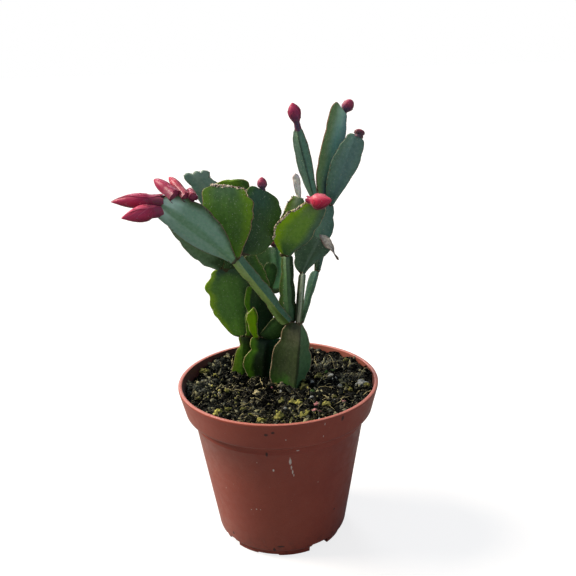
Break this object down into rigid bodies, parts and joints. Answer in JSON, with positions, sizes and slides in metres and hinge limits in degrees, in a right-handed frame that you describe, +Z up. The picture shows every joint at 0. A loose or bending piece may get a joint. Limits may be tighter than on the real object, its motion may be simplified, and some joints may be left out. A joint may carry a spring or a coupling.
{
  "type": "easter cactus in a pot",
  "caption": "Jointed flat-stemmed cactus with closed red flower buds, rooted in peat in a round tapered plastic nursery pot.",
  "frame": {"origin": "middle of the whole plant's and pot's outline, at the surface the pot stands on", "axes": "+Z up along the pot's axis, -Y towards the front of the plant"},
  "size_m": [0.1472, 0.12, 0.2601],
  "materials": {
    "pot": "satin moulded terracotta-coloured plastic",
    "soil": "damp fibrous peat compost",
    "green_stem": "waxy green stem skin",
    "bluish_stem": "waxy stem skin with a bluish bloom",
    "old_stem": "older stem skin turning brown and corky",
    "bud": "glossy crimson petals",
    "dry_remnant": "dry papery tissue"
  },
  "bodies": {
    "root": {"pot": "pot", "soil": "soil", "base_front": "old_stem", "base_middle": "old_stem", "base_left": "old_stem", "stalk_front": "bluish_stem", "stalk_center": "green_stem", "stalk_thin": "old_stem", "stalk_right": "bluish_stem", "blade_left": "bluish_stem", "disc_front": "green_stem", "disc_behind": "green_stem", "disc_left": "green_stem", "blade_left_under": "green_stem", "link_back": "green_stem", "blade_back_left": "bluish_stem", "leaf_back_top": "green_stem", "middle_stem": "green_stem", "leaf_lime": "green_stem", "leaf_small": "green_stem", "middle_leaf_front": "green_stem", "middle_leaf_center": "green_stem", "middle_leaf_back": "bluish_stem", "disc_right_front": "green_stem", "leaf_right_behind": "green_stem", "leaf_right_low": "bluish_stem", "stem_right": "bluish_stem", "blade_right_inner": "bluish_stem", "blade_right_top": "bluish_stem", "blade_right_outer": "bluish_stem", "bud_left_upper": "bud", "bud_left_lower": "bud", "bud_left_back": "bud", "bud_left_edge": "bud", "bud_left_inner": "bud", "bud_disc_behind": "bud", "bud_right_inner": "bud", "bud_right_top": "bud", "bud_right_outer": "bud", "bud_right_front": "bud", "bud_middle_back": "bud", "dry_flower_remnant": "dry_remnant", "dry_leaf_remnant": "dry_remnant"}
  },
  "joints": []
}
